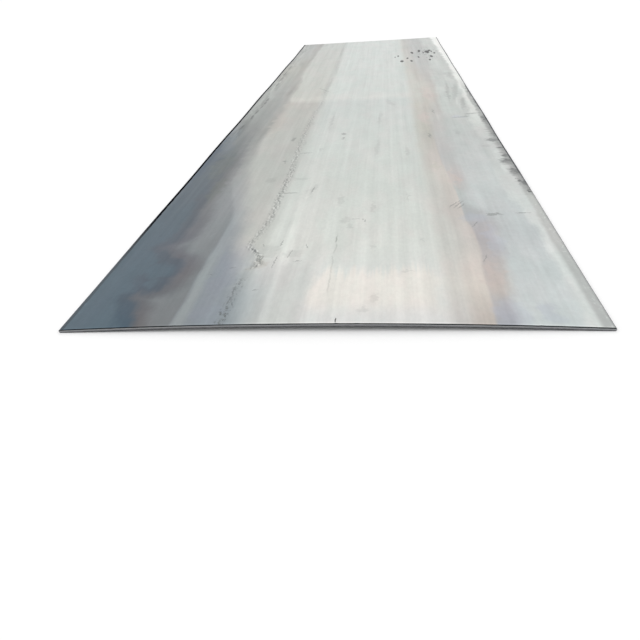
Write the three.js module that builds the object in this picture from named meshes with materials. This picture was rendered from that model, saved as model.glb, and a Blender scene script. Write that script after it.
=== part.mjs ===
// A hot-rolled structural steel plate with mill edges, sheared to length.
// Millimetres. +X runs across the plate, +Y along its length, +Z up.
// The origin is in the middle of the underside, on the floor that the plate lies on.
import * as THREE from 'three'

// The plate as it is ordered
const plateWidth = 1500
const plateLength = 6000
const plateThickness = 10

// Long sides: the rolls squeeze the metal out into a rounded mill edge
const millEdgeBulge = 3.5        // how far the round side stands out past the flat faces

// Short ends: what a guillotine shear leaves on a cut, from the top down
const rolloverDepth = 0.9        // height of the top corner that the blade drags round
const rolloverRun = 1.5          // how far in along the plate that corner starts
const burnishedDepth = 2.7       // height of the smooth upright band that the blade cuts
const tornLean = 1               // how far back the torn band below it leans
const burrHeight = 0.5           // height of the burr along the lower edge
const burrReach = 0.4            // how far the burr stands out from the foot of the torn band

// Out-of-flatness, all of it above the floor, so the plate rests on its middle strip and front corners
const crossbowRise = 18          // arch of the front end: its middle over its two corners
const crossbowReach = 1400       // distance from the front end at which the arch has run out
const endLiftRise = 6            // how far the far end curls up off the floor
const endLiftReach = 1000        // distance from the far end at which the curl starts
const edgeWaveHeight = 3         // height of the long waves in the two side bands
const edgeWavePitch = 1250       // length of one wave
const edgeWaveBand = 260         // width of each wavy band, in from the side
const edgeWaveStagger = 480      // how far the right side's waves lag behind the left side's

// How finely each stretch of the plate is divided
const bandSteps = 4              // across each wavy band
const stripSteps = 10            // across the flat strip between the bands
const archSteps = 14             // along the front arch
const middleSteps = 36           // along the plate between the arch and the curl
const curlSteps = 8              // along the curl of the far end
const rolloverSteps = 3
const tornSteps = 3

const halfWidth = plateWidth / 2
const halfLength = plateLength / 2
const halfThickness = plateThickness / 2
const burnishedTop = plateThickness - rolloverDepth
const burnishedFoot = burnishedTop - burnishedDepth

// Places on one axis: each stretch between two breaks is divided into its own number of even steps
function stationsBetween(breaks, steps) {
  const stations = [breaks[0]]
  steps.forEach((count, stretch) => {
    const start = breaks[stretch]
    const run = breaks[stretch + 1] - start
    for (let step = 1; step <= count; step++) {
      stations.push(start + run * step / count)
    }
  })
  return stations
}

// Lines along the plate, from its left side to its right side
const columns = stationsBetween(
  [-halfWidth, -halfWidth + edgeWaveBand, halfWidth - edgeWaveBand, halfWidth],
  [bandSteps, stripSteps, bandSteps],
)

// Lines across the plate, from its front end to its far end
const rows = stationsBetween(
  [-halfLength, -halfLength + crossbowReach, halfLength - endLiftReach, halfLength],
  [archSteps, middleSteps, curlSteps],
)

// Heights at which the section of an end or a side changes direction, from the underside up
function sectionHeights() {
  const heights = [0, ...stationsBetween([burrHeight, burnishedFoot, burnishedTop], [tornSteps, 1])]
  for (let step = 1; step <= rolloverSteps; step++) {
    heights.push(burnishedTop + rolloverDepth * Math.sin(Math.PI / 2 * step / rolloverSteps))
  }
  return heights
}

// How far the rounded long side lies in from its widest line, at one height of the section
function millEdgeInset(height) {
  const offMiddle = (height - halfThickness) / halfThickness
  return millEdgeBulge * (1 - Math.sqrt(Math.max(0, 1 - offMiddle ** 2)))
}

// How far a sheared end lies in from its furthest line, at one height of the section
function shearedEndInset(height) {
  if (height > burnishedTop) {
    const upRollover = Math.min(1, (height - burnishedTop) / rolloverDepth)
    return rolloverRun * (1 - Math.sqrt(1 - upRollover ** 2))
  }
  const downTorn = Math.max(0, (burnishedFoot - height) / burnishedFoot)
  const burr = burrReach * Math.max(0, 1 - height / burrHeight)
  return tornLean * downTorn - burr
}

// The share of the front arch that is left at a distance from the front end
function frontArch(y) {
  const along = Math.min(1, (y + halfLength) / crossbowReach)
  return Math.cos(Math.PI / 2 * along) ** 2
}

function crossbowLift(x, y) {
  return crossbowRise * frontArch(y) * (1 - (x / halfWidth) ** 2)
}

// The curl of the far end
function endLift(y) {
  const intoCurl = Math.max(0, 1 - (halfLength - y) / endLiftReach)
  return endLiftRise * intoCurl ** 2
}

// Waves along each side, which die out at the inner line of their band and under the front arch
function edgeWaveLift(x, y) {
  const intoBand = Math.max(0, 1 - (halfWidth - Math.abs(x)) / edgeWaveBand)
  const lag = x > 0 ? edgeWaveStagger : 0
  const swing = (1 - Math.cos(2 * Math.PI * (y + halfLength - lag) / edgeWavePitch)) / 2
  return edgeWaveHeight * intoBand ** 2 * swing * (1 - frontArch(y))
}

// A place on the outer line of a face is drawn in by the inset of the side or end that it meets there
function drawnIn(place, outermost, inset) {
  return Math.abs(place) === outermost ? place - Math.sign(place) * inset : place
}

// A block of unit cells, with each of its corners drawn to its station on the real section and lie
function plateGeometry() {
  const heights = sectionHeights()
  const cells = [columns, rows, heights].map((stations) => stations.length - 1)
  const block = new THREE.BoxGeometry(...cells, ...cells)
  const corners = block.attributes.position
  for (let index = 0; index < corners.count; index++) {
    const x = columns[Math.round(corners.getX(index) + cells[0] / 2)]
    const y = rows[Math.round(corners.getY(index) + cells[1] / 2)]
    const height = heights[Math.round(corners.getZ(index) + cells[2] / 2)]
    corners.setXYZ(
      index,
      drawnIn(x, halfWidth, millEdgeInset(height)),
      drawnIn(y, halfLength, shearedEndInset(height)),
      height + crossbowLift(x, y) + endLift(y) + edgeWaveLift(x, y),
    )
  }
  block.computeVertexNormals()
  return block
}

const millScale = new THREE.MeshStandardMaterial({ color: 0x8d969b, roughness: 0.42, metalness: 0.75 })

const plate = new THREE.Mesh(plateGeometry(), millScale)
plate.name = 'plate'

const steelPlate = new THREE.Group()
steelPlate.add(plate)

export default steelPlate
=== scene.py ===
# Looks of a hot-rolled steel plate: silver and slate-blue mill scale, mill edges and sheared ends.
# Metres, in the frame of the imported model: +X across the plate, +Y along it, +Z up.
import math

import bmesh
import bpy
from mathutils import Matrix, Vector, noise


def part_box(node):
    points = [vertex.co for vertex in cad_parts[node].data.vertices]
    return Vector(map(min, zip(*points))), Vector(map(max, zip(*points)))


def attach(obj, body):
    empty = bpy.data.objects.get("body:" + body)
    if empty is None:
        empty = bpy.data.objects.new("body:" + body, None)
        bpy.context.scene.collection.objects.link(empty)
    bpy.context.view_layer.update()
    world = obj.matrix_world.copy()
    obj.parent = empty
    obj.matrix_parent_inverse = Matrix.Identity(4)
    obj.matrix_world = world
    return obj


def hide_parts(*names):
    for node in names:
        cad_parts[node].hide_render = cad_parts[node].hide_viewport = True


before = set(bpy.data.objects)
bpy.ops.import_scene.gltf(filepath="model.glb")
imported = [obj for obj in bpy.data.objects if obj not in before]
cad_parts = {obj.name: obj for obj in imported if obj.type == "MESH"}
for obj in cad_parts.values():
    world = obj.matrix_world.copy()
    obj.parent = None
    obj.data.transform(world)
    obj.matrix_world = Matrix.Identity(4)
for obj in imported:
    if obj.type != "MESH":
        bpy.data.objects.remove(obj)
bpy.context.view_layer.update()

MM = 0.001

# The plate's extent and thickness; it lies in an arch, so its box is higher than it is thick
plate_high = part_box("plate")[1]
HALF_WIDTH = plate_high.x
HALF_LENGTH = plate_high.y
THICKNESS = 10 * MM

# Section of the rounded long sides and of the sheared ends
MILL_EDGE_BULGE = 3.5 * MM
ROLLOVER_DEPTH = 0.9 * MM
ROLLOVER_RUN = 1.5 * MM
BURNISHED_DEPTH = 2.7 * MM
TORN_LEAN = 1 * MM
BURR_HEIGHT = 0.5 * MM
BURR_REACH = 0.4 * MM
BURNISHED_TOP = THICKNESS - ROLLOVER_DEPTH
BURNISHED_FOOT = BURNISHED_TOP - BURNISHED_DEPTH

# How the plate lies: an arch at the front end, a curl at the far end, waves along the sides
CROSSBOW_RISE = 18 * MM
CROSSBOW_REACH = 1.4
END_LIFT_RISE = 6 * MM
END_LIFT_REACH = 1.0
EDGE_WAVE_HEIGHT = 3 * MM
EDGE_WAVE_PITCH = 1.25
EDGE_WAVE_BAND = 0.26
EDGE_WAVE_STAGGER = 0.48

# Unevenness of the worked edges
TORN_RELIEF = 0.3 * MM           # depth of the rough grain of the torn band
TEAR_LINE_WANDER = 0.7 * MM      # how far the foot of the burnished band wanders up and down
MILL_EDGE_WANDER = 1.2 * MM      # how far the mill edges wander in from a straight line
NICK_DEPTH = 1.6 * MM            # how far a knock on the front edge goes in
NICK_REACH = 7 * MM              # how far it spreads along the edge
NICK_FOOT = 0.4                  # the share of the thickness down to which it reaches
NICK_PLACES = (-0.41, 0.037, 0.093, 0.565)
MILL_EDGE_RIPPLES = ((1.3, 1, 7), (6, 0.5, 3))    # lumps per metre, strength, and where the noise is read
TEAR_LINE_LUMPS = 9              # per metre
BURR_LUMPS = 23
GRAIN_LUMPS = (160, 700)         # per metre along the end, and upwards
GRAIN_RUN_IN = 0.25              # the share of the torn band over which its grain sets in

# How finely the skin is divided
COLUMNS = 250
END_RUN = 0.2                    # the stretch next to each end with close rows
END_ROWS = 20
ARCH_ROWS = 30
MIDDLE_ROWS = 60
CURL_ROWS = 16
TORN_LEVELS = 5
BURNISHED_LEVELS = 2
ROLLOVER_LEVELS = 4
OUTERMOST = 0.9999               # a vertex of the grid past this share of its half size is on the rim
SHARP_ANGLE = math.radians(40)

# The camera stands in front of the plate, a little right of its middle
CAMERA_PLACE = (0.169, -HALF_LENGTH - 1.289, 0.849)
CAMERA_PITCH = math.radians(31.91)
CAMERA_YAW = math.radians(7.68)
CAMERA_ROLL = math.radians(-4.39)
CAMERA_LENS = 32.56

# Floor and light: an evenly lit white surface comes to about 1
FLOOR_SHOWN = 1.0                # how light the floor is to the camera
FLOOR_ALBEDO = 0.85              # how light it is to the plate
SKY_LIGHT = 0.7
MIRRORED_HORIZON = 1.03
MIRRORED_ZENITH = 0.8
SUN_SPREAD = math.radians(40)
KEY_LAMP = ((-4, -5, 8), 0.9)    # where it shines from, and its strength
FILL_LAMP = ((5, -2, 6), 0.45)
FLOOR_HALF_SIZE = 200
CAMERA_REACH = 300


# ---------------------------------------------------------------- the plate's shape

def stretch(start, end, steps):
    """The places that divide a stretch into even steps, without its start."""
    return [start + (end - start) * step / steps for step in range(1, steps + 1)]


def row_places():
    """Lines across the plate, closer together near both ends."""
    places = [-HALF_LENGTH]
    places += stretch(-HALF_LENGTH, -HALF_LENGTH + END_RUN, END_ROWS)
    places += stretch(-HALF_LENGTH + END_RUN, -HALF_LENGTH + CROSSBOW_REACH, ARCH_ROWS)
    places += stretch(-HALF_LENGTH + CROSSBOW_REACH, HALF_LENGTH - END_LIFT_REACH, MIDDLE_ROWS)
    places += stretch(HALF_LENGTH - END_LIFT_REACH, HALF_LENGTH - END_RUN, CURL_ROWS)
    places += stretch(HALF_LENGTH - END_RUN, HALF_LENGTH, END_ROWS)
    return places


def level_heights():
    """Heights of the section from the underside up: burr, torn band, burnished band, rollover."""
    heights = [0, BURR_HEIGHT]
    heights += stretch(BURR_HEIGHT, BURNISHED_FOOT, TORN_LEVELS)
    heights += stretch(BURNISHED_FOOT, BURNISHED_TOP, BURNISHED_LEVELS)
    for level in range(1, ROLLOVER_LEVELS + 1):
        heights.append(BURNISHED_TOP + ROLLOVER_DEPTH * math.sin(math.pi / 2 * level / ROLLOVER_LEVELS))
    return heights


def front_arch(y):
    """1 at the front end, falling to 0 where the arch has faded out."""
    along = min(1, (y + HALF_LENGTH) / CROSSBOW_REACH)
    return math.cos(math.pi / 2 * along) ** 2


def lift(x, y):
    """How far the plate stands off the floor at a place."""
    arch = front_arch(y)
    crossbow = CROSSBOW_RISE * arch * (1 - (x / HALF_WIDTH) ** 2)
    curl = END_LIFT_RISE * max(0, 1 - (HALF_LENGTH - y) / END_LIFT_REACH) ** 2
    into_band = max(0, 1 - (HALF_WIDTH - abs(x)) / EDGE_WAVE_BAND)
    lag = EDGE_WAVE_STAGGER if x > 0 else 0
    swing = (1 - math.cos(2 * math.pi * (y + HALF_LENGTH - lag) / EDGE_WAVE_PITCH)) / 2
    return crossbow + curl + EDGE_WAVE_HEIGHT * into_band ** 2 * swing * (1 - arch)


def mill_edge_inset(height, y, side):
    """The rounded long side, which wanders in a little along its length."""
    off_middle = 2 * height / THICKNESS - 1
    rounding = MILL_EDGE_BULGE * (1 - math.sqrt(max(0, 1 - off_middle ** 2)))
    wander = sum(strength * noise.noise(Vector((side * seed, y * lumps, 0)))
                 for lumps, strength, seed in MILL_EDGE_RIPPLES)
    return rounding + MILL_EDGE_WANDER * abs(wander)


def nick_share(x):
    """1 in the middle of a knock on the front edge, 0 away from every knock."""
    return max(max(0, 1 - abs(x - place) / NICK_REACH) for place in NICK_PLACES)


def sheared_end_inset(height, x, end):
    """The sheared end, with its rough torn band and, at the front, a few knocks."""
    tear_line = BURNISHED_FOOT + TEAR_LINE_WANDER * noise.noise(Vector((x * TEAR_LINE_LUMPS, end * 5, 2)))
    if height > BURNISHED_TOP:
        up_rollover = min(1, (height - BURNISHED_TOP) / ROLLOVER_DEPTH)
        inset = ROLLOVER_RUN * (1 - math.sqrt(1 - up_rollover ** 2))
    else:
        down_torn = max(0, (tear_line - height) / tear_line)
        raggedness = 0.7 + noise.noise(Vector((x * BURR_LUMPS, end, 5)))
        burr = BURR_REACH * max(0, 1 - height / BURR_HEIGHT) * raggedness
        grain = noise.noise(Vector((x * GRAIN_LUMPS[0], height * GRAIN_LUMPS[1], end * 9)))
        relief = TORN_RELIEF * abs(grain) * min(1, down_torn / GRAIN_RUN_IN)
        inset = TORN_LEAN * down_torn - burr + relief
    if end < 0:
        inset += NICK_DEPTH * nick_share(x) * max(0, height / THICKNESS - NICK_FOOT)
    return max(0, inset)


def plate_skin():
    """The plate as one closed skin: a grid, extruded to the thickness and laid as the plate lies."""
    rows = row_places()
    heights = level_heights()
    row_count = len(rows) - 1
    level_count = len(heights) - 1
    skin = bmesh.new()
    bmesh.ops.create_grid(skin, x_segments=COLUMNS, y_segments=row_count, size=1)
    raised = bmesh.ops.extrude_face_region(skin, geom=skin.faces[:])["geom"]
    raised_verts = [part for part in raised if isinstance(part, bmesh.types.BMVert)]
    bmesh.ops.translate(skin, verts=raised_verts, vec=(0, 0, 1))
    upright = [edge for edge in skin.edges if abs(edge.verts[0].co.z - edge.verts[1].co.z) > 0.5]
    bmesh.ops.subdivide_edges(skin, edges=upright, cuts=level_count - 1, use_grid_fill=True)
    section_height = skin.verts.layers.float.new("section_height")
    for vert in skin.verts:
        across, along = vert.co.x, vert.co.y
        height = heights[round(vert.co.z * level_count)]
        x = across * HALF_WIDTH
        y = rows[round((along + 1) / 2 * row_count)]
        z = height + lift(x, y)
        if abs(across) > OUTERMOST:
            x -= math.copysign(mill_edge_inset(height, y, math.copysign(1, across)), across)
        if abs(along) > OUTERMOST:
            y -= math.copysign(sheared_end_inset(height, x, math.copysign(1, along)), along)
        vert.co = (x, y, z)
        vert[section_height] = height / THICKNESS
    bmesh.ops.recalc_face_normals(skin, faces=skin.faces[:])
    return skin


def face_finish(face, level_span):
    """Which of the plate's materials a face takes: 0 top, 1 underside, 2 mill edge, 3 sheared end."""
    if level_span == 0:
        return 0 if face.normal.z > 0 else 1
    return 2 if abs(face.normal.x) > abs(face.normal.y) else 3


def plate_piece(finishes):
    """The rolled plate, with a finish on each of its kinds of face."""
    skin = plate_skin()
    section_height = skin.verts.layers.float["section_height"]
    for face in skin.faces:
        levels = [vert[section_height] for vert in face.verts]
        face.material_index = face_finish(face, max(levels) - min(levels))
        face.smooth = True
    for edge in skin.edges:
        if len(edge.link_faces) == 2:
            edge.smooth = edge.calc_face_angle(0) < SHARP_ANGLE
    mesh = bpy.data.meshes.new("rolled_plate")
    skin.to_mesh(mesh)
    skin.free()
    for finish in finishes:
        mesh.materials.append(finish)
    piece = bpy.data.objects.new("rolled_plate", mesh)
    bpy.context.collection.objects.link(piece)
    return piece


# ---------------------------------------------------------------- materials

def shade(red, green, blue):
    """A colour given as it is seen, 0 to 255, made linear."""
    def linear(value):
        value /= 255
        return value / 12.92 if value <= 0.04045 else ((value + 0.055) / 1.055) ** 2.4
    return (linear(red), linear(green), linear(blue), 1)


def add_node(tree, kind, inputs=None, **settings):
    """Adds a shader node with its settings, and sets or joins its inputs."""
    made = tree.nodes.new("ShaderNode" + kind)
    for setting, value in settings.items():
        setattr(made, setting, value)
    for socket, value in (inputs or {}).items():
        if isinstance(value, bpy.types.NodeSocket):
            tree.links.new(value, made.inputs[socket])
        else:
            made.inputs[socket].default_value = value
    return made


GRADIENT_SPAN = 2.2              # the run of a linear gradient, in half sizes of the plate
USUAL_NOISE = (0.25, 0.75)       # where nearly all of a noise field lies


class Finish:
    """A procedural material being put together, node by node, on places of the plate."""

    def __init__(self, name):
        self.material = bpy.data.materials.new(name)
        self.material.use_nodes = True
        self.tree = self.material.node_tree
        self.tree.nodes.clear()
        self.point = self.node("TexCoord").outputs["Object"]
        # Distance right of the middle, and from the front end
        self.across = self.distance(0.0, HALF_WIDTH)
        self.along = self.sum(self.distance(-math.pi / 2, HALF_LENGTH), HALF_LENGTH)
        self.scattered_points = {}
        self.colour = None           # what the layers laid so far come to

    def node(self, kind, inputs=None, **settings):
        return add_node(self.tree, kind, inputs, **settings)

    def distance(self, turn, reach):
        """Distance from the middle along the axis that a turn about the vertical brings onto X."""
        span = GRADIENT_SPAN * reach
        placed = self.node("Mapping", {
            "Vector": self.point, "Location": (0.5, 0, 0), "Rotation": (0, 0, turn),
            "Scale": [1 / span] * 3,
        })
        gradient = self.node("TexGradient", {0: placed.outputs[0]}, gradient_type="LINEAR")
        return self.product(self.difference(gradient.outputs["Fac"], 0.5), span)

    def vector(self, operation, first, second):
        return self.node("VectorMath", {0: first, 1: second}, operation=operation).outputs[0]

    def chain(self, operation, terms):
        total = terms[0]
        for term in terms[1:]:
            total = self.node("Math", {0: total, 1: term}, operation=operation).outputs[0]
        return total

    def sum(self, *terms):
        return self.chain("ADD", terms)

    def difference(self, *terms):
        return self.chain("SUBTRACT", terms)

    def product(self, *factors):
        return self.chain("MULTIPLY", factors)

    def most(self, *fields):
        return self.chain("MAXIMUM", fields)

    def least(self, *fields):
        return self.chain("MINIMUM", fields)

    def size(self, value):
        return self.node("Math", {0: value}, operation="ABSOLUTE").outputs[0]

    def between(self, value, low, high):
        """0 at low and 1 at high, with a smooth step between; low may be the larger."""
        step = self.node("MapRange", {0: value, 1: low, 2: high, 3: 0.0, 4: 1.0},
                         interpolation_type="SMOOTHSTEP")
        return step.outputs[0]

    def grows(self, start, end):
        """0 at one distance from the front end and 1 at another, which may be the nearer one."""
        return self.between(self.along, start, end)

    def band(self, value, middle, half, soft):
        """1 within half of the middle, fading to 0 over soft."""
        return self.between(self.size(self.difference(value, middle)), half + soft, half)

    def stretch(self, start, end, soft):
        """1 from one distance to another from the front end, fading to 0 over soft."""
        return self.band(self.along, (start + end) / 2, (end - start) / 2, soft)

    def curve(self, place, points):
        """A value of 0 to 1 on a smooth line through points of place and value."""
        start = points[0][0]
        reach = points[-1][0] - start
        share = self.product(self.difference(place, start), 1 / reach)
        curve = self.node("FloatCurve", {"Value": share})
        line = curve.mapping.curves[0]
        while len(line.points) < len(points):
            line.points.new(0.5, 0.5)
        for point, (distance, value) in zip(line.points, points):
            point.location = ((distance - start) / reach, value)
        curve.mapping.update()
        return curve.outputs[0]

    def profile(self, points):
        """A value of 0 to 1 that changes down the plate: points of distance from the front, and value."""
        return self.curve(self.along, points)

    def right_of(self, border, drift=0.0):
        """How far right of a border a place lies: points of distance from the front, and place across."""
        shares = [(distance, (place / HALF_WIDTH + 1) / 2) for distance, place in border]
        line = self.sum(self.product(self.profile(shares), 2 * HALF_WIDTH), -HALF_WIDTH)
        return self.difference(self.sum(self.across, drift), line)

    def down(self, *stops):
        """A colour that changes down the plate: stops of distance from the front, red, green and blue."""
        ramp = self.node("ValToRGB", {0: self.product(self.along, 1 / (2 * HALF_LENGTH))})
        steps = ramp.color_ramp.elements
        steps.remove(steps[1])
        for distance, *_ in stops[1:]:
            steps.new(distance / (2 * HALF_LENGTH))
        for step, (distance, *colour) in zip(steps, stops):
            step.position = distance / (2 * HALF_LENGTH)
            step.color = shade(*colour)
        return ramp.outputs[0]

    def noise(self, across, along, detail=3.0, roughness=0.55, shift=0.0):
        """Noise of 0 to 1 with its own number of lumps per metre across and along the plate."""
        stretched = self.node("Mapping", {
            "Vector": self.point, "Scale": (across, along, across),
            "Location": (shift * across, shift * along, 0),
        })
        grain = self.node("TexNoise", {
            "Vector": stretched.outputs[0], "Scale": 1.0, "Detail": detail, "Roughness": roughness,
        })
        return grain.outputs["Fac"]

    def wear(self, field, low, high):
        """A noise field of 0 to 1 turned into an amount between low and high."""
        least, most = USUAL_NOISE
        return self.node("MapRange", {0: field, 1: least, 2: most, 3: low, 4: high}).outputs[0]

    def wander(self, reach, across, along, **grain):
        """Noise that swings from -reach to reach."""
        return self.wear(self.noise(across, along, **grain), -reach, reach)

    def scattered(self, outline):
        """The point moved about by noise, so that what is drawn round it gets a ragged outline."""
        if outline not in self.scattered_points:
            lumps, across, along = outline
            scatter = self.node("TexNoise", {"Vector": self.point, "Scale": lumps, "Detail": 4.0})
            off_middle = self.vector("SUBTRACT", scatter.outputs["Color"], (0.5, 0.5, 0.5))
            shift = self.vector("MULTIPLY", off_middle, (across, along, 0))
            self.scattered_points[outline] = self.vector("ADD", self.point, shift)
        return self.scattered_points[outline]

    def outside_oval(self, place, x, y, half_width, half_length):
        """How far outside an oval a place lies, less than 0 inside it."""
        from_middle = self.vector("SUBTRACT", place, (x, y, 0))
        in_halves = self.vector("MULTIPLY", from_middle, (1 / half_width, 1 / half_length, 0))
        reach = self.node("VectorMath", {0: in_halves}, operation="LENGTH").outputs["Value"]
        return self.product(self.difference(reach, 1.0), half_width)

    def mark(self, x, y, half_width, half_length, lean=0, *, soft, outline):
        """1 inside a ragged oval, fading over soft of its size; lean turns it from the plate's length."""
        rim = 1 + soft / 2
        seen = self.node("Mapping", {
            "Vector": self.scattered(outline), "Location": (x, y - HALF_LENGTH, 0),
            "Rotation": (0, 0, -math.radians(lean)), "Scale": (half_width * rim, half_length * rim, 1),
        }, vector_type="TEXTURE")
        inwards = self.node("TexGradient", {0: seen.outputs[0]}, gradient_type="SPHERICAL")
        return self.between(inwards.outputs["Fac"], 0.0, soft / rim)

    def marks(self, places, soft, outline):
        """How much the strongest of several marks covers a place."""
        covered = 0.0
        for place in places:
            covered = self.most(covered, self.mark(*place, soft=soft, outline=outline))
        return covered

    def paint(self, under, over, share):
        """One colour laid over another, by its share."""
        return self.node("Mix", {0: share, 6: under, 7: over}, data_type="RGBA").outputs[2]

    def shaded(self, colour, *amounts):
        """A colour made lighter or darker by factors near 1: from black, through itself and beyond."""
        return self.node("Mix", {0: self.product(*amounts), 6: (0, 0, 0, 1), 7: colour},
                         data_type="RGBA", clamp_factor=False).outputs[2]

    def lay(self, over, *shares):
        """Lays another colour over the finish's own, by the product of its shares."""
        self.colour = self.paint(self.colour, over, self.product(*shares))

    def vary(self, *amounts):
        """Makes the finish's own colour lighter or darker by factors near 1."""
        self.colour = self.shaded(self.colour, *amounts)

    def tint_by(self, tint):
        """Multiplies the finish's own colour by a tint near white."""
        self.colour = self.node("Mix", {0: 1.0, 6: self.colour, 7: tint}, data_type="RGBA",
                                blend_type="MULTIPLY").outputs[2]

    def close(self, roughness, metallic, relief, gloss=0.5):
        """The shader and its output; the relief is a height in millimetres."""
        shader = self.node("BsdfPrincipled", {
            "Base Color": self.colour, "Roughness": roughness, "Metallic": metallic,
            "Specular IOR Level": gloss,
        })
        bump = self.node("Bump", {"Height": relief, "Distance": MM, "Strength": 1.0})
        self.tree.links.new(bump.outputs[0], shader.inputs["Normal"])
        self.node("OutputMaterial", {"Surface": shader.outputs[0]})
        return self.material


# Single colours of the top, in the order in which they are laid on
# Painted highlight: a lighter, warmer spot near the front of the middle
FRONT_PAINTED_HIGHLIGHT = shade(241, 236, 229)
FRONT_DULL = shade(212, 213, 210)
FRONT_COOL = shade(174, 181, 184)
STRIP_RIM = shade(162, 158, 152)
LIGHT_GREY = shade(156, 163, 164)
# Painted shade and painted highlight on the two sides of the seam's flakes
FLAKE_PAINTED_SHADE = shade(96, 101, 101)
FLAKE_PAINTED_HIGHLIGHT = shade(234, 236, 232)
SEAM_SHADE = shade(112, 117, 115)
STRAND = shade(110, 112, 104)
SCRATCHED = shade(96, 99, 98)
SPOTTED = shade(112, 114, 112)
SOOT = shade(76, 79, 80)
# Painted shade along the very sides of the top
SIDE_PAINTED_SHADE = shade(17, 22, 29)
SPLASHED_DIRT = shade(30, 33, 33)
NOTCH_SHADE = shade(60, 62, 60)

# Colours of the underside, the mill edges and the sheared ends
UNDER_MIDDLE = shade(146, 150, 151)
UNDER_SIDES = shade(106, 115, 123)
UNDER_INDIGO = shade(104, 106, 118)
UNDER_RUBBED = shade(176, 180, 180)
EDGE_SCALE_AND_SHADE = shade(62, 66, 69)
EDGE_RUBBED = shade(118, 121, 123)
EDGE_RUST = shade(74, 60, 50)
TORN_STEEL = shade(134, 135, 137)
BURNISHED_STEEL = shade(168, 170, 172)
# Painted shade at the sheared end's foot, and drawn-over scale darkened further by painted shade
BURR_PAINTED_SHADE = shade(46, 48, 50)
DRAWN_SCALE_AND_SHADE = shade(30, 33, 36)

# Outlines of marks: noise lumps per metre, and how far they push the outline across and along
CLEAN = (90.0, 0.015, 0.022)
SPLASHED = (70.0, 0.016, 0.04)
FRAYED = (45.0, 0.05, 0.08)
TORN = (16.0, 0.12, 0.16)

# Ovals that bulge the slate-blue zone to the right: place across and along, half width, half length
SLATE_BULGES = ((-0.57, 0.265, 0.066, 0.07), (-0.587, 0.35, 0.1, 0.1), (-0.635, 0.415, 0.085, 0.1))

# Lines along the top: distance from the front end, and place right of the middle
HAZE_BORDER = (
    (0, -0.225), (0.15, -0.252), (0.32, -0.275), (0.5, -0.325), (0.75, -0.35), (1.1, -0.415),
    (1.5, -0.485), (2.2, -0.505), (2.8, -0.485), (3.2, -0.505), (4.0, -0.53), (6.0, -0.535),
)
SLATE_BORDER = (
    (0, -0.533), (0.05, -0.543), (0.1, -0.553), (0.14, -0.575), (0.172, -0.603), (0.2, -0.585),
    (0.25, -0.565), (0.42, -0.562), (0.49, -0.598), (0.53, -0.618), (0.56, -0.598), (0.6, -0.577),
    (0.7, -0.567), (1.0, -0.582), (1.3, -0.588), (1.6, -0.592), (1.8, -0.615), (6.0, -0.62),
)
STRAW_BORDER = (
    (0, 0.455), (0.3, 0.463), (0.58, 0.47), (0.72, 0.458), (1.0, 0.458), (1.5, 0.43), (2.4, 0.445),
    (3.1, 0.5), (3.7, 0.46), (4.4, 0.43), (6.0, 0.43),
)
MAUVE_BORDER = (
    (0, 0.5), (0.15, 0.51), (0.35, 0.53), (0.6, 0.54), (0.75, 0.535), (0.9, 0.485), (1.3, 0.5),
    (1.8, 0.485), (3.0, 0.52), (3.6, 0.53), (4.4, 0.56), (6.0, 0.55),
)
WHITE_BORDER = (
    (0, 0.675), (0.8, 0.675), (0.95, 0.65), (1.5, 0.65), (2.2, 0.655), (2.6, 0.68), (6.0, 0.675),
)
SEAM_LINE = (
    (0, -0.283), (0.13, -0.28), (0.25, -0.275), (0.33, -0.262), (0.39, -0.243), (0.45, -0.258),
    (0.52, -0.3), (0.6, -0.288), (0.75, -0.272), (1.1, -0.272), (1.3, -0.268), (1.6, -0.28),
    (2.1, -0.285), (2.5, -0.28), (2.75, -0.262), (3.2, -0.27), (3.8, -0.275), (6.0, -0.262),
)
# How strongly the seam shows: distance from the front end, and share
SEAM_STRENGTH = (
    (0, 0.9), (0.08, 1), (0.13, 0.6), (0.25, 0.7), (0.29, 0), (0.34, 0.4), (0.38, 1), (0.46, 1),
    (0.55, 0.5), (0.8, 0.65), (1.4, 0.6), (2.2, 0.4), (2.8, 0.3), (4.0, 0),
)


def middle_field(finish):
    """Silver scale over the middle, with a painted highlight near the front that makes it a little
    lighter and warmer there.
    """
    finish.colour = finish.down(
        (0, 228, 229, 227), (0.5, 222, 224, 219), (1.1, 213, 217, 212), (2.84, 206, 211, 208),
        (2.97, 216, 218, 214), (3.15, 211, 216, 212), (6.0, 213, 218, 215),
    )
    combed = finish.sum(finish.along, finish.wander(0.08, 22, 0.5, roughness=0.8))
    ragged_side = finish.sum(finish.across, finish.wander(0.03, 6, 6))
    reach = finish.sum(combed, finish.product(0.07, finish.between(finish.across, 0.02, -0.08)))
    # A painted highlight: the lighter, warmer spot near the front end
    highlight_patch = finish.product(finish.between(reach, 0.36, 0.27), finish.between(ragged_side, -0.08, -0.04),
                           finish.between(ragged_side, 0.35, 0.29), finish.grows(0.02, 0.14))
    finish.lay(FRONT_PAINTED_HIGHLIGHT, 0.85, highlight_patch)


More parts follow.
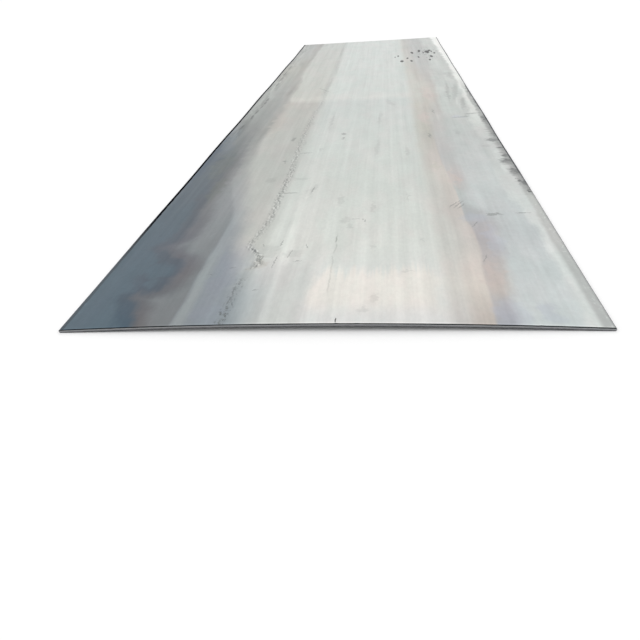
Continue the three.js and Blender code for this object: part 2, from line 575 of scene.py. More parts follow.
def left_shoulder(finish):
    """Beige-grey scale left of the seam, and a duller strip along the left side."""
    shoulder = finish.down(
        (0, 190, 194, 193), (0.5, 196, 196, 191), (1.5, 188, 190, 185), (2.84, 189, 188, 182),
        (2.97, 208, 207, 200), (3.12, 199, 200, 193), (6.0, 200, 203, 199),
    )
    finish.lay(shoulder, finish.between(finish.across, -0.19, -0.31))
    finish.lay(FRONT_DULL, finish.between(finish.across, -0.05, -0.09), finish.grows(0.45, 0.3))
    finish.lay(FRONT_COOL, finish.between(finish.across, -0.13, -0.27), finish.grows(0.45, 0.1))
    strip = finish.down(
        (1.5, 146, 148, 145), (2.1, 140, 144, 141), (2.6, 150, 154, 151), (3.4, 166, 169, 165),
        (4.4, 177, 178, 170), (5.3, 179, 182, 179), (6.0, 175, 177, 175),
    )
    wandering = finish.wander(0.025, 5, 1.6, detail=4)
    past_strip = finish.right_of(HAZE_BORDER, wandering)
    finish.lay(strip, finish.between(past_strip, 0.02, -0.03), finish.grows(1.0, 1.6))
    rim = finish.product(finish.band(past_strip, -0.025, 0.02, 0.03), finish.grows(1.8, 2.4))
    finish.lay(STRIP_RIM, 0.45, rim)


def tint_and_painted_reflection(finish):
    """The heat-tinted front left: lavender haze, grey, a brown and indigo fringe, then slate blue, whose
    darkness is partly painted reflection of darker surroundings.
    """
    drift = finish.wander(0.014, 14, 11, detail=6, roughness=0.65)
    brushed = finish.wander(0.01, 30, 2.5)
    right_of_haze = finish.right_of(HAZE_BORDER, drift)
    haze = finish.down(
        (0, 143, 151, 157), (0.5, 144, 152, 159), (0.9, 155, 160, 163), (1.6, 163, 164, 162),
    )
    finish.lay(haze, finish.between(right_of_haze, 0.035, -0.075), finish.grows(2.2, 1.4))

    grey = finish.down(
        (0, 127, 131, 134), (0.55, 127, 133, 136), (1.0, 141, 146, 149), (1.5, 152, 154, 152),
    )
    tapering = finish.product(0.12, finish.grows(0.7, 1.4))
    from_grey = finish.sum(finish.across, brushed, tapering)
    finish.lay(grey, finish.between(from_grey, -0.41, -0.43), finish.grows(2.0, 1.3))
    light_streak = finish.product(finish.between(from_grey, -0.427, -0.413),
                                  finish.between(from_grey, -0.37, -0.395))
    finish.lay(LIGHT_GREY, 0.7, light_streak, finish.grows(0.8, 0.25))

    right_of_slate = finish.right_of(SLATE_BORDER, finish.sum(drift, finish.product(0.5, brushed)))
    wavering = finish.wander(0.02, 20, 14, detail=4, roughness=0.6, shift=7.2)
    waved = finish.node("CombineXYZ", {
        "X": finish.sum(finish.across, drift), "Y": finish.sum(finish.along, wavering),
    }).outputs[0]
    for bulge in SLATE_BULGES:
        right_of_slate = finish.least(right_of_slate, finish.outside_oval(waved, *bulge))
    slate_ends = finish.grows(2.6, 1.7)
    brown = finish.down(
        (0, 106, 105, 107), (0.17, 98, 101, 107), (0.3, 107, 106, 110), (0.55, 97, 101, 110),
        (0.75, 103, 106, 112), (1.0, 110, 112, 115), (1.5, 110, 114, 116),
    )
    finish.lay(brown, slate_ends, finish.between(right_of_slate, 0.09, 0.012))
    indigo = finish.down(
        (0, 67, 88, 103), (0.25, 76, 88, 101), (1.0, 83, 92, 102), (1.7, 96, 104, 107),
        (2.6, 154, 158, 156),
    )
    finish.lay(indigo, slate_ends, finish.between(right_of_slate, 0.022, -0.022))
    # Slate blue: the scale's own tint, made darker by a painted reflection of darker surroundings at the
    # front left
    slate = finish.down(
        (0, 88, 106, 118), (0.5, 78, 97, 110), (1.1, 80, 95, 106), (1.6, 73, 87, 97),
        (2.2, 128, 138, 144), (2.8, 155, 160, 159),
    )
    mottle = finish.wear(finish.noise(16, 9, detail=6, roughness=0.7, shift=3.4), 0.93, 1.08)
    slate = finish.shaded(slate, mottle)
    clouds = finish.wander(0.035, 7, 4, detail=4, shift=2.0)
    patchy = finish.sum(right_of_slate, clouds)
    finish.lay(slate, slate_ends, finish.between(patchy, -0.02, -0.065))


def right_bands(finish):
    """Straw and pink streak, mauve-grey strip, pale blue-grey field, white band and border strip, both
    with painted glare towards the far end.
    """
    drift = finish.wander(0.016, 9, 5, detail=6, roughness=0.65)
    brushed = finish.wander(0.006, 30, 2.0, shift=5.0)
    flank = finish.down(
        (0, 206, 204, 201), (0.2, 221, 216, 210), (0.5, 209, 208, 203), (2.1, 194, 192, 184),
        (3.0, 206, 205, 198), (6.0, 202, 202, 195),
    )
    finish.lay(flank, finish.between(finish.sum(finish.across, drift), 0.305, 0.37))
    straw = finish.down(
        (0, 194, 188, 181), (0.22, 222, 213, 205), (0.5, 209, 203, 198), (0.85, 199, 192, 187),
        (1.2, 210, 203, 196), (1.5, 203, 198, 192), (1.9, 186, 184, 176), (3.1, 202, 197, 189),
        (3.6, 196, 194, 187), (6.0, 195, 194, 190),
    )
    right_of_straw = finish.right_of(STRAW_BORDER, brushed)
    finish.lay(straw, finish.between(right_of_straw, -0.085, -0.03))

    mauve = finish.down(
        (0, 172, 176, 183), (0.2, 203, 195, 190), (0.35, 194, 188, 186), (0.55, 186, 182, 184),
        (0.8, 182, 184, 185), (1.0, 188, 192, 190), (1.2, 196, 190, 188), (1.5, 190, 191, 190),
        (3.0, 194, 190, 184), (4.3, 189, 190, 188), (6.0, 186, 188, 186),
    )
    crisp = finish.sum(0.006, finish.product(0.03, finish.grows(1.4, 2.4)))
    finish.lay(mauve, finish.between(right_of_straw, finish.product(-1, crisp), crisp))
    cloudy = finish.between(finish.noise(9, 4, detail=5, roughness=0.6), 0.38, 0.62)
    field = finish.down(
        (0, 211, 217, 217), (0.13, 210, 216, 216), (0.35, 205, 211, 211), (0.6, 197, 202, 203),
        (1.2, 203, 208, 207), (1.4, 200, 204, 203), (1.9, 191, 195, 193), (2.6, 198, 203, 199),
        (6.0, 202, 205, 202),
    )
    field = finish.shaded(field, finish.sum(0.97, finish.product(0.06, cloudy)))
    right_of_mauve = finish.right_of(MAUVE_BORDER, drift)
    finish.lay(field, finish.between(right_of_mauve, -0.02, 0.035))

    # The white band turns near white down the plate: painted glare over a pale scale
    white = finish.down(
        (0, 220, 224, 222), (0.9, 215, 219, 217), (1.4, 205, 208, 206), (1.8, 198, 201, 199),
        (2.2, 216, 219, 215), (3.2, 232, 234, 230), (3.7, 242, 243, 240), (4.3, 250, 250, 248),
    )
    right_of_white = finish.right_of(WHITE_BORDER, drift)
    finish.lay(white, finish.between(right_of_white, -0.015, 0.02))
    # The border strip also turns near white past about 3.4 m from the front: painted glare
    strip = finish.down(
        (0, 190, 192, 191), (0.95, 196, 198, 195), (1.1, 200, 202, 200), (1.7, 196, 198, 196),
        (2.2, 168, 170, 168), (3.0, 184, 186, 183), (3.5, 236, 237, 233), (4.3, 246, 247, 244),
    )
    strip_side = finish.sum(finish.across, finish.product(drift, finish.grows(0.3, 0.9)))
    finish.lay(strip, finish.between(strip_side, 0.706, 0.724))


# Soft patches on the top that lean to another tint: the tint, its share, and the patches
ROSE = shade(206, 194, 188)
PALE_BLUE = shade(186, 192, 204)
DUSK_BLUE = shade(146, 152, 168)
DULL_GREEN = shade(102, 110, 106)
DEEP_BLUE = shade(62, 84, 108)
SAGE = shade(196, 196, 184)
BEIGE = shade(193, 187, 179)
TINTED_PATCHES = (
    (ROSE, 0.6, ((0.487, 0.27, 0.024, 0.1), (0.462, 1.2, 0.014, 0.12), (0.4, 2.3, 0.03, 0.14),
        (0.46, 3, 0.04, 0.25, -4))),
    (PALE_BLUE, 0.38, ((0.5, 0.06, 0.035, 0.07), (0.53, 0.54, 0.022, 0.12), (0.5, 0.74, 0.04, 0.05),
        (0.6, 0.07, 0.03, 0.05), (0.59, 2.28, 0.04, 0.03))),
    (DUSK_BLUE, 0.22, ((-0.34, 0.3, 0.04, 0.17), (-0.33, 0.07, 0.04, 0.06), (-0.3, 0.44, 0.04, 0.09))),
    (DEEP_BLUE, 0.5, ((-0.755, 1.65, 0.045, 0.55),)),
    (DULL_GREEN, 0.5, ((-0.635, 1.52, 0.04, 0.2), (-0.575, 1.15, 0.025, 0.15))),
    (SAGE, 0.5, ((0.395, 1.37, 0.014, 0.06), (0.38, 2.1, 0.035, 0.1), (0.38, 2.62, 0.02, 0.12))),
    (BEIGE, 0.5, ((-0.48, 2.3, 0.04, 0.3), (-0.48, 2.8, 0.04, 0.12), (-0.245, 0.37, 0.022, 0.04))),
)


def patches(finish):
    """The soft patches laid over the tinted zones."""
    for tint, share, places in TINTED_PATCHES:
        finish.lay(tint, share, finish.marks(places, soft=0.9, outline=TORN))


# Long streaks left by the rolls: place right of the middle, and per cent that the scale is lighter there
ROLL_STREAKS = (
    (-0.75, 0), (-0.45, 0), (-0.36, -2), (-0.308, 3.5), (-0.265, -3), (-0.222, 3), (-0.19, -5.5),
    (-0.168, 3.5), (-0.132, -2.5), (-0.1, 3.3), (-0.068, -3.5), (-0.04, 0.5), (-0.012, 2.5), (0.004, -3),
    (0.032, 1), (0.06, 0), (0.105, 2), (0.126, -2), (0.156, 2.4), (0.182, -3), (0.205, 3), (0.23, -3.6),
    (0.258, 2.7), (0.3, -2.8), (0.337, 3), (0.364, -2.6), (0.385, 0.5), (0.418, -3), (0.446, 5),
    (0.475, -0.5), (0.52, 0), (0.75, 0),
)
MOST_STREAK = 10    # per cent


def roll_streaks(finish):
    """A factor for the long streaks left by the rolls, which get fainter down the plate."""
    wandering = finish.wander(0.003, 4, 1.5, detail=2, shift=6.6)
    line = [(place, 0.5 + amount / MOST_STREAK / 2) for place, amount in ROLL_STREAKS]
    lighter = finish.difference(finish.curve(finish.sum(finish.across, wandering), line), 0.5)
    strength = finish.sum(0.45, finish.product(0.5, finish.grows(1.3, 0.5)))
    return finish.sum(1.0, finish.product(lighter, strength, 2 * MOST_STREAK / 100))


def scale_grain(finish):
    """A factor for the grain of the scale: fine streaks along the plate, blocks, clouds and speckle."""
    broad = finish.wear(finish.noise(16, 0.25), 0.985, 1.015)
    combed = finish.wear(finish.noise(30, 0.8, detail=2, roughness=0.8, shift=1.7), 0.975, 1.025)
    blocks = finish.wear(finish.noise(26, 8, detail=4, roughness=0.7, shift=7.7), 0.975, 1.025)
    narrow = finish.wear(finish.noise(75, 1.2, detail=4), 0.962, 1.038)
    clouds = finish.wear(finish.noise(9, 5, detail=6, roughness=0.65), 0.95, 1.05)
    speckle = finish.wear(finish.noise(90, 45, detail=4, roughness=0.65), 0.957, 1.043)
    return finish.product(broad, combed, blocks, narrow, clouds, speckle)


def cross_strokes(finish):
    """A factor for the faint strokes across the plate, right of the straw streak."""
    strokes = finish.wear(finish.noise(10, 38, detail=5, roughness=0.6, shift=2.6), 0.975, 1.025)
    share = finish.between(finish.across, 0.42, 0.52)
    return finish.sum(1.0, finish.product(share, finish.difference(strokes, 1.0)))


def leaning_tint(finish):
    """A factor that leans a colour a little to green or to pink, in soft patches."""
    where = finish.between(finish.noise(9, 3.5, detail=4, roughness=0.6, shift=6.3), 0.4, 0.62)
    return finish.paint((0.982, 1.0, 0.99, 1), (1.008, 0.993, 0.99, 1), where)


def scale_seam(finish):
    """A seam of torn scale left of the middle: a broken dark line among flakes, each with a painted
    highlight on one side and painted shade on the other.
    """
    strength = finish.profile(SEAM_STRENGTH)
    zigzag = finish.wander(0.012, 0.01, 26, detail=5, roughness=0.75)
    from_seam = finish.right_of(SEAM_LINE, zigzag)
    flakes = finish.noise(85, 42, detail=4, roughness=0.6)
    flakes_beside = finish.noise(85, 42, detail=4, roughness=0.6, shift=0.005)
    slope = finish.difference(flakes, flakes_beside)
    torn = finish.product(strength, finish.band(from_seam, 0.0, 0.006, 0.014))
    dull = finish.product(0.06, finish.band(from_seam, 0.0, 0.008, 0.018))
    finish.vary(finish.difference(1.0, dull))
    # Painted shade on one side of each flake and a painted highlight on the other, from the slope of the
    # flake noise
    finish.lay(FLAKE_PAINTED_SHADE, 0.75, torn, finish.between(slope, 0.035, 0.11))
    finish.lay(FLAKE_PAINTED_HIGHLIGHT, finish.grows(0.25, 0.4), 0.75, torn, finish.between(slope, -0.05, -0.13))
    broken = finish.between(finish.noise(0.01, 30, detail=4, shift=9.2), 0.44, 0.54)
    line = finish.product(strength, broken, finish.band(from_seam, 0.0, 0.001, 0.0035))
    finish.lay(SEAM_SHADE, 0.6, line)


def thin_line(finish):
    """A second, finer strand, near the middle of the front."""
    zigzag = finish.wander(0.007, 0.01, 9, detail=4, roughness=0.7, shift=8.1)
    broken = finish.between(finish.noise(0.01, 20, shift=3.3), 0.36, 0.48)
    strength = finish.profile(((0, 0), (0.15, 0), (0.2, 0.18), (0.43, 0.15), (0.5, 0.22), (0.55, 0.45),
                               (0.58, 0.4), (0.6, 0), (6.0, 0)))
    from_strand = finish.sum(finish.across, zigzag)
    return finish.product(strength, broken, finish.band(from_strand, 0.0, 0.001, 0.003))


def rubbed_sides(finish):
    """Next to the long sides: rubbed streaks farther down the plate, and light chips."""
    from_side = finish.difference(HALF_WIDTH, finish.size(finish.across))
    streaks = finish.between(finish.noise(36, 3.5, detail=4, roughness=0.7, shift=4.0), 0.42, 0.58)
    rubs = finish.sum(-0.22, finish.product(0.34, streaks))
    left_share = finish.product(finish.between(finish.across, -0.64, -0.69), finish.grows(1.5, 2.2))
    chips = finish.between(finish.noise(120, 60, detail=3, roughness=0.6, shift=4.0), 0.56, 0.66)
    chip_share = finish.product(0.2, chips, finish.between(from_side, 0.035, 0.012))
    return finish.sum(1.0, finish.product(left_share, rubs), chip_share)


def side_soot(finish):
    """Soot along the right side: speckled next to it, with strokes and blots that reach in."""
    from_side = finish.difference(HALF_WIDTH, finish.across)
    strokes = finish.noise(6, 80, detail=5, roughness=0.65, shift=1.2)
    near_side = finish.difference(strokes, finish.product(5.0, from_side))
    sooted = finish.stretch(1.02, 2.15, 0.1)
    licks = finish.product(0.6, sooted, finish.between(near_side, 0.33, 0.5))
    speckles = finish.wear(finish.noise(150, 40, detail=3, roughness=0.7), 0.2, 0.8)
    speckled = finish.product(speckles, sooted, finish.between(from_side, 0.045, 0.01))
    uneven = finish.wear(finish.noise(6, 110, detail=3), 0.4, 1.0)
    blots = finish.product(uneven, finish.marks(SMUDGES_AT_SIDE, soft=0.8, outline=FRAYED))
    cores = finish.product(0.8, finish.marks(SOOT_CORES, soft=0.9, outline=CLEAN))
    return finish.most(licks, speckled, blots, cores)


def side_shade_line(finish):
    """A dark line of painted shade along the very sides of the top, for the shade at the plate's edge:
    wider on the left, and faint at the front right.
    """
    leftness = finish.between(finish.across, 0.1, -0.1)
    from_side = finish.difference(HALF_WIDTH, finish.size(finish.across))
    wandering = finish.wander(0.002, 60, 25, detail=4, roughness=0.7)
    ragged = finish.sum(from_side, wandering, finish.product(-0.007, leftness))
    on_left = finish.sum(0.55, finish.product(0.45, finish.grows(0.3, 0.8)))
    on_right = finish.sum(0.2, finish.product(0.8, finish.grows(0.95, 1.4)))
    share = finish.sum(on_right, finish.product(leftness, finish.difference(on_left, on_right)))
    return finish.product(share, finish.between(ragged, 0.011, 0.006))


# Marks on the top: place right of the middle and distance from the front end, half width, half length,
# and, where it leans, the lean in degrees. A share tells how strongly a kind of mark shows.
SPATTER = (
    (0.325, 4.46, 0.015, 0.058, 2), (0.411, 4.45, 0.011, 0.052, -3), (0.38, 4.62, 0.009, 0.045, 3),
    (0.434, 4.95, 0.012, 0.068, -2), (0.506, 5.04, 0.013, 0.09, 2), (0.578, 4.96, 0.022, 0.09, -3),
    (0.603, 5.04, 0.014, 0.055, 4), (0.602, 4.66, 0.014, 0.06, -3), (0.576, 4.47, 0.01, 0.045, 2),
    (0.484, 4.66, 0.008, 0.045, -3), (0.297, 4.78, 0.008, 0.042, 2), (0.266, 4.72, 0.006, 0.036, -3),
    (0.642, 4.86, 0.009, 0.045, 4), (0.541, 4.93, 0.007, 0.045), (0.62, 4.98, 0.008, 0.045, -4),
)
SPECKLED_PLACE = (0.585, 4.9, 0.1, 0.32)
SPATTER_SHARE = 0.92
SMUDGES_AT_SIDE = (
    (0.72, 1.765, 0.042, 0.03), (0.735, 1.62, 0.028, 0.02), (0.735, 1.49, 0.022, 0.03),
    (0.725, 1.395, 0.036, 0.045), (0.73, 1.25, 0.024, 0.06), (0.722, 1.13, 0.009, 0.022),
    (0.742, 1.09, 0.022, 0.05), (0.738, 1, 0.01, 0.02), (0.738, 2.2, 0.014, 0.08),
    (0.742, 1.88, 0.014, 0.08), (0.742, 2.6, 0.01, 0.15), (0.742, 3, 0.008, 0.2),
)
SOOT_CORES = (
    (0.747, 1.1, 0.024, 0.035), (0.742, 1.41, 0.022, 0.03), (0.725, 1.125, 0.009, 0.016),
    (0.747, 1.76, 0.018, 0.02), (0.722, 1.42, 0.01, 0.016), (0.74, 1.25, 0.018, 0.04),
)
DARK_SPOTS = (
    (-0.06, 1.995, 0.011, 0.02), (-0.06, 1.91, 0.006, 0.025), (0.083, 0.745, 0.004, 0.008),
    (-0.385, 0.308, 0.006, 0.006, 60), (-0.325, 1.52, 0.006, 0.025), (-0.262, 0.78, 0.005, 0.012, 40),
    (0.404, 1.89, 0.007, 0.05), (0.463, 2.45, 0.006, 0.05), (-0.335, 1.93, 0.009, 0.04),
    (0.565, 0.765, 0.026, 0.01),
)
SPOT_SHARE = 0.5
NOTCH_LINE = ((0.035, 0.015, 0.0016, 0.015),)
SCRATCHES = (
    (0.437, 0.885, 0.0025, 0.04, 35), (0.447, 0.87, 0.003, 0.045, 30), (0.455, 0.85, 0.0025, 0.03, 30),
    (0.427, 0.87, 0.002, 0.035, 30), (-0.238, 1.06, 0.006, 0.038, 87), (-0.283, 1.22, 0.003, 0.03),
    (-0.235, 1.655, 0.005, 0.032, 85), (-0.139, 1.09, 0.004, 0.035, 5), (-0.115, 0.383, 0.002, 0.016, 90),
    (-0.148, 0.44, 0.002, 0.03, 10), (-0.098, 0.5, 0.002, 0.02, -15), (-0.189, 0.53, 0.003, 0.025, 5),
    (-0.19, 0.38, 0.002, 0.05, 3), (-0.25, 0.515, 0.002, 0.012, -20), (0.055, 0.742, 0.002, 0.018, 90),
    (0.095, 0.722, 0.003, 0.012), (-0.22, 0.19, 0.004, 0.01, 60), (-0.32, 0.345, 0.003, 0.012, 70),
    (0.67, 0.775, 0.004, 0.03, 90), (0.485, 0.67, 0.002, 0.03, 25), (0.48, 0.39, 0.002, 0.03, 20),
    (0.61, 2.27, 0.008, 0.05, 88), (0.69, 2.345, 0.01, 0.05, 90), (-0.285, 3.3, 0.004, 0.1, -30),
)
SCRATCH_SHARE = 0.4
SMUDGES = (
    (0.127, 0.48, 0.008, 0.018), (0.02, 0.73, 0.014, 0.035), (0.04, 0.675, 0.01, 0.02),
    (0.235, 0.305, 0.014, 0.008), (0.292, 0.54, 0.005, 0.016), (0.135, 0.14, 0.012, 0.025),
    (0.1, 0.07, 0.014, 0.02), (-0.14, 0.44, 0.03, 0.025), (-0.01, 0.95, 0.012, 0.06),
    (0.26, 0.97, 0.005, 0.05), (0.12, 0.86, 0.01, 0.06), (-0.15, 1.06, 0.012, 0.06),
    (0.555, 1.935, 0.016, 0.035), (0.65, 2.31, 0.014, 0.06, 20), (0.67, 1.66, 0.016, 0.03),
    (0.205, 2.75, 0.018, 0.1, -12), (0.14, 2.35, 0.01, 0.14, 3), (0.13, 1.7, 0.012, 0.14, 3),
    (0.28, 1.62, 0.01, 0.07), (-0.26, 1.84, 0.008, 0.03), (-0.265, 2.28, 0.016, 0.04),
    (-0.345, 1.24, 0.02, 0.035), (-0.16, 1.7, 0.01, 0.03), (-0.15, 2.3, 0.01, 0.2),
    (-0.54, 3.25, 0.016, 0.1), (-0.52, 5.85, 0.05, 0.12), (-0.4, 5.73, 0.01, 0.09),
    (-0.545, 4.9, 0.01, 0.15, 5), (-0.62, 4.62, 0.016, 0.1), (0.465, 2.92, 0.014, 0.07),
    (0.66, 3.72, 0.03, 0.06), (0.675, 3.55, 0.02, 0.08), (-0.245, 0.365, 0.022, 0.03),
    (-0.22, 0.47, 0.03, 0.05), (-0.215, 1.25, 0.035, 0.02), (-0.13, 1.13, 0.012, 0.03),
    (-0.262, 3.5, 0.012, 0.32, 2), (-0.252, 4.3, 0.014, 0.4, -1), (-0.275, 5.3, 0.01, 0.35),
)
SMUDGE_SHARE = 0.11
SIDE_DASHES = (
    (-0.67, 3.03, 0.008, 0.055), (-0.668, 2.925, 0.007, 0.045), (-0.678, 2.655, 0.008, 0.05, 2),
    (-0.683, 2.51, 0.008, 0.055, -2), (-0.696, 2.255, 0.006, 0.06, 3), (-0.691, 3.615, 0.007, 0.085),
    (-0.697, 3.84, 0.007, 0.11, 1), (-0.699, 4.11, 0.006, 0.13), (-0.672, 2.8, 0.005, 0.05, 3),
    (-0.7, 4.45, 0.006, 0.11),
)
DASH_SHARE = 0.5
LEAF_STREAKS = (
    (0.652, 3.02, 0.018, 0.26, 6), (0.66, 2.62, 0.014, 0.18, 5), (0.6, 3, 0.01, 0.3, 3),
    (0.67, 3.65, 0.018, 0.12, 3), (-0.728, 4.7, 0.022, 0.8),
)
LEAF_SHARE = 0.19
PALE_STREAKS = (
    (-0.173, 0.36, 0.009, 0.3), (-0.155, 1.04, 0.008, 0.06), (-0.272, 1.29, 0.003, 0.025),
    (0.69, 0.47, 0.012, 0.04), (0.48, 2.3, 0.006, 0.1), (-0.238, 0.398, 0.006, 0.01),
    (-0.28, 0.59, 0.005, 0.012), (0.442, 0.9, 0.003, 0.04, 32), (0.452, 0.865, 0.003, 0.04, 32),
    (0.632, 2.7, 0.006, 0.12, 5), (-0.16, 0.38, 0.02, 0.03), (-0.65, 3.1, 0.02, 0.1),
    (0.54, 3.1, 0.012, 0.25, 3), (0.69, 1.3, 0.01, 0.05), (0.7, 1.56, 0.012, 0.03),
    (-0.16, 0.5, 0.024, 0.08), (0.56, 3.05, 0.02, 0.15, 3), (-0.52, 0.6, 0.006, 0.03, 25),
    (-0.46, 0.63, 0.004, 0.03, 20), (-0.693, 3.6, 0.01, 0.25, 2), (-0.18, 0.27, 0.022, 0.17),
    (-0.17, 0.53, 0.016, 0.12),
)
PALE_SHARE = 0.08


def specks(finish):
    """Fine specks among the spattered dirt near the far right corner."""
    fine = finish.between(finish.noise(80, 24, detail=3, roughness=0.6, shift=5.5), 0.58, 0.63)
    return finish.product(fine, finish.mark(*SPECKLED_PLACE, soft=1.4, outline=TORN))


def top_finish():
    """The top face, with its tinted zones, its streaks and its marks."""
    finish = Finish("top_mill_scale")
    middle_field(finish)
    left_shoulder(finish)
    tint_and_painted_reflection(finish)
    right_bands(finish)
    patches(finish)
    finish.tint_by(leaning_tint(finish))
    finish.vary(scale_grain(finish), roll_streaks(finish), cross_strokes(finish))
    pale = finish.product(PALE_SHARE, finish.marks(PALE_STREAKS, soft=0.8, outline=CLEAN))
    finish.vary(finish.sum(1.0, pale))
    dull = finish.most(finish.product(SMUDGE_SHARE, finish.marks(SMUDGES, soft=0.9, outline=FRAYED)),
                       finish.product(LEAF_SHARE, finish.marks(LEAF_STREAKS, soft=0.9, outline=FRAYED)),
                       finish.product(DASH_SHARE, finish.marks(SIDE_DASHES, soft=0.7, outline=CLEAN)))
    finish.vary(finish.difference(1.0, dull))
    scale_seam(finish)
    finish.lay(STRAND, thin_line(finish))
    finish.lay(SCRATCHED, SCRATCH_SHARE, finish.marks(SCRATCHES, soft=0.35, outline=CLEAN))
    finish.lay(SPOTTED, SPOT_SHARE, finish.marks(DARK_SPOTS, soft=0.7, outline=FRAYED))
    finish.vary(rubbed_sides(finish))
    soot = side_soot(finish)
    finish.lay(SOOT, soot)
    # A dark line of painted shade along both long sides
    line = side_shade_line(finish)
    finish.lay(SIDE_PAINTED_SHADE, line)
    splashes = finish.marks(SPATTER, soft=0.5, outline=SPLASHED)
    spatter = finish.product(SPATTER_SHARE, finish.most(splashes, specks(finish)))
    finish.lay(SPLASHED_DIRT, spatter)
    finish.lay(NOTCH_SHADE, finish.marks(NOTCH_LINE, soft=0.4, outline=CLEAN))
    # A painted highlight along the front edge of the top, where the rolled-over arris would catch the
    # light
    front_lip_highlight = finish.product(0.12, finish.grows(0.012, 0.004))
    finish.vary(finish.sum(1.0, front_lip_highlight))

    fine_relief = finish.sum(finish.noise(300, 12, detail=4), finish.noise(90, 70, detail=4))
    roughness = finish.wear(finish.noise(30, 1.5), 0.3, 0.42)
    bare = finish.difference(1.0, finish.most(soot, line, spatter))
    return finish.close(roughness, finish.product(0.85, bare), finish.product(0.12, fine_relief),
                        gloss=finish.product(0.5, bare))


def underside_finish():
    """The underside: slate-grey scale, darker towards the sides, with streaks and rubbed patches."""
    finish = Finish("underside_mill_scale")
    from_middle = finish.size(finish.across)
    wandering = finish.sum(from_middle, finish.wander(0.06, 5, 1.2, detail=4))
    finish.colour = UNDER_MIDDLE
    finish.lay(UNDER_SIDES, finish.between(wandering, 0.3, 0.66))
    finish.lay(UNDER_INDIGO, 0.6, finish.band(wandering, 0.52, 0.02, 0.05))
    broad = finish.wear(finish.noise(12, 0.3), 0.92, 1.06)
    fine = finish.wear(finish.noise(85, 0.8, detail=4), 0.93, 1.06)
    clouds = finish.wear(finish.noise(9, 5, detail=6, roughness=0.65), 0.94, 1.06)
    finish.vary(broad, fine, clouds)
    finish.lay(UNDER_RUBBED, finish.between(finish.noise(14, 2.5, detail=5, shift=3.0), 0.6, 0.72), 0.5)
    finish.tint_by(leaning_tint(finish))
    return finish.close(0.45, 0.8, finish.product(0.12, finish.noise(200, 12, detail=4)))


def mill_edge_finish():
    """The rounded long sides: dark scale, painted darker still as shade at the rounded edge, rubbed pale
    in spots, with a little brown in its pits.
    """
    finish = Finish("mill_edge_scale")
    # Dark scale, darkened further by painted shade at the rounded edge
    finish.colour = EDGE_SCALE_AND_SHADE
    finish.vary(finish.wear(finish.noise(30, 30, detail=5), 0.75, 1.2))
    finish.lay(EDGE_RUBBED, 0.5, finish.between(finish.noise(45, 18, detail=4, shift=1.0), 0.58, 0.7))
    finish.lay(EDGE_RUST, 0.4, finish.between(finish.noise(60, 40, detail=5, shift=2.0), 0.58, 0.68))
    return finish.close(0.5, 0.75, finish.product(0.3, finish.noise(160, 40)))


def sheared_end_finish():
    """A sheared end from the top down: dark scale drawn over the edge, painted darker still as shade
    under the arris, bright band, dull torn band, and painted shade at the foot.
    """
    finish = Finish("sheared_end_steel")
    height = finish.node("Attribute", attribute_name="section_height").outputs["Fac"]
    ragged = finish.sum(height, finish.wander(0.04, 60, 60, detail=3))
    finish.colour = TORN_STEEL
    finish.lay(BURNISHED_STEEL, finish.between(ragged, 0.46, 0.58))
    # Painted shade at the foot of the end, under the burr
    finish.colour = finish.paint(BURR_PAINTED_SHADE, finish.colour, finish.between(ragged, 0.06, 0.18))
    # Dark scale drawn over the edge, darkened further by painted shade below the arris
    finish.lay(DRAWN_SCALE_AND_SHADE, finish.between(ragged, 0.68, 0.76))
    finish.vary(finish.wear(finish.noise(120, 120, detail=4), 0.85, 1.12))
    return finish.close(0.42, 0.85, finish.product(0.1, finish.noise(500, 500)))


# ---------------------------------------------------------------- floor, light and camera

def white_floor():
    """A wide pale floor, white to the camera where no shadow falls, and open from below."""
    floor_mesh = bpy.data.meshes.new("floor")
    plane = bmesh.new()
    bmesh.ops.create_grid(plane, x_segments=1, y_segments=1, size=FLOOR_HALF_SIZE)
    plane.to_mesh(floor_mesh)
    plane.free()
    floor = bpy.data.objects.new("floor", floor_mesh)
    bpy.context.collection.objects.link(floor)
    finish = Finish("pale_floor")
    rays = finish.node("LightPath")
    albedo = finish.node("Mix", {0: rays.outputs["Is Camera Ray"], 2: FLOOR_ALBEDO, 3: FLOOR_SHOWN})
    matte = finish.node("BsdfDiffuse", {"Color": albedo.outputs[0]})
    clear = finish.node("BsdfTransparent")
    side = finish.node("NewGeometry").outputs["Backfacing"]
    surface = finish.node("MixShader", {0: side, 1: matte.outputs[0], 2: clear.outputs[0]})
    finish.node("OutputMaterial", {"Surface": surface.outputs[0]})
    floor_mesh.materials.append(finish.material)


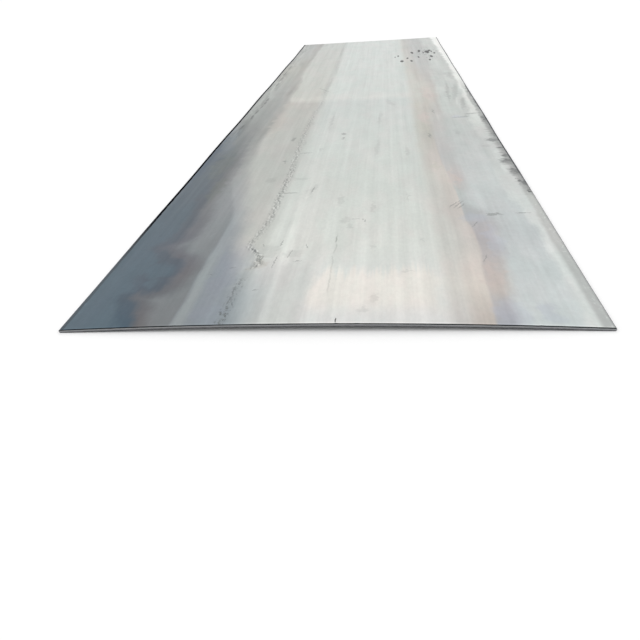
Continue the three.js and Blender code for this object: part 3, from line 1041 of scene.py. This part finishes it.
def pale_world():
    """A white studio: full strength to the camera, a little less overhead in what metal mirrors."""
    world = bpy.data.worlds.new("studio")
    world.use_nodes = True
    bpy.context.scene.world = world
    tree = world.node_tree
    tree.nodes.clear()
    rays = add_node(tree, "LightPath").outputs
    direction = add_node(tree, "TexCoord").outputs["Generated"]
    height = add_node(tree, "SeparateXYZ", {0: direction}).outputs["Z"]
    mirrored = add_node(tree, "MapRange", {0: height, 3: MIRRORED_HORIZON, 4: MIRRORED_ZENITH})
    lighting = add_node(tree, "Mix", {
        0: rays["Is Glossy Ray"], 2: SKY_LIGHT, 3: mirrored.outputs[0],
    })
    strength = add_node(tree, "Mix", {0: rays["Is Camera Ray"], 2: lighting.outputs[0], 3: 1.0})
    sky = add_node(tree, "Background", {"Color": (1, 1, 1, 1), "Strength": strength.outputs[0]})
    add_node(tree, "OutputWorld", {"Surface": sky.outputs[0]})


def soft_sun(name, place, strength):
    """A wide soft lamp that shines from a place towards the middle, left out of what metal mirrors."""
    lamp = bpy.data.lights.new(name, "SUN")
    lamp.energy = strength
    lamp.angle = SUN_SPREAD
    holder = bpy.data.objects.new(name, lamp)
    holder.location = place
    holder.rotation_euler = (-Vector(place)).to_track_quat("-Z", "Y").to_euler()
    holder.visible_glossy = False
    bpy.context.collection.objects.link(holder)


def plate_camera():
    """The camera, which looks down the plate from its front end."""
    view = bpy.data.cameras.new("view")
    view.lens = CAMERA_LENS
    view.clip_end = CAMERA_REACH
    camera = bpy.data.objects.new("view", view)
    turn = (Matrix.Rotation(CAMERA_YAW, 4, "Z")
            @ Matrix.Rotation(math.pi / 2 - CAMERA_PITCH, 4, "X")
            @ Matrix.Rotation(CAMERA_ROLL, 4, "Z"))
    camera.matrix_world = Matrix.Translation(CAMERA_PLACE) @ turn
    bpy.context.collection.objects.link(camera)
    bpy.context.scene.camera = camera


# ---------------------------------------------------------------- the scene

plate = plate_piece([top_finish(), underside_finish(), mill_edge_finish(), sheared_end_finish()])
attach(plate, "root")
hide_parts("plate")

white_floor()
pale_world()
soft_sun("key", *KEY_LAMP)
soft_sun("fill", *FILL_LAMP)
plate_camera()
bpy.context.scene.view_settings.view_transform = "Standard"
